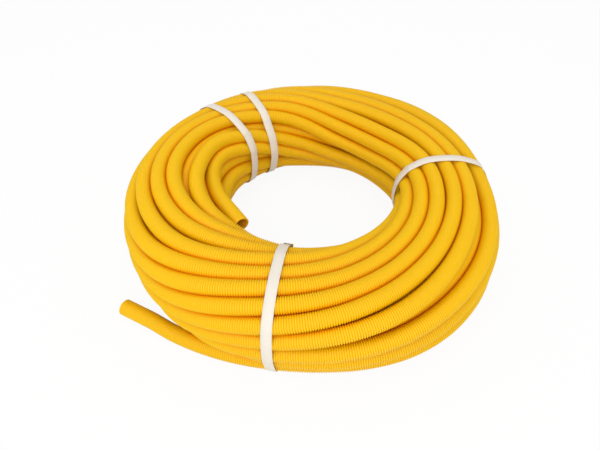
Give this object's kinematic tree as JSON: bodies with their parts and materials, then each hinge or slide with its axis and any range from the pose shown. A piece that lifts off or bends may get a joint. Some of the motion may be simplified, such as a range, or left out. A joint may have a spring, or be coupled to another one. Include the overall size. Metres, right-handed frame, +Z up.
{
  "type": "corrugated conduit coil",
  "caption": "Coil of flexible corrugated conduit lying flat, held by plastic straps round its bundle, with both open ends free.",
  "frame": {"origin": "on the coil's axis, at the floor that the coil lies on", "axes": "+Z up along the coil's axis; the side with the front strap and the outer free end faces -Y, and the right strap is near +X"},
  "size_m": [0.6208, 0.6198, 0.1521],
  "materials": {
    "conduit_plastic": "satin yellow PVC, ribbed",
    "strap_plastic": "satin off-white polypropylene strapping"
  },
  "bodies": {
    "root": {"conduit": "conduit_plastic", "strap_front": "strap_plastic", "strap_right": "strap_plastic", "strap_back": "strap_plastic", "strap_left": "strap_plastic"}
  },
  "joints": []
}
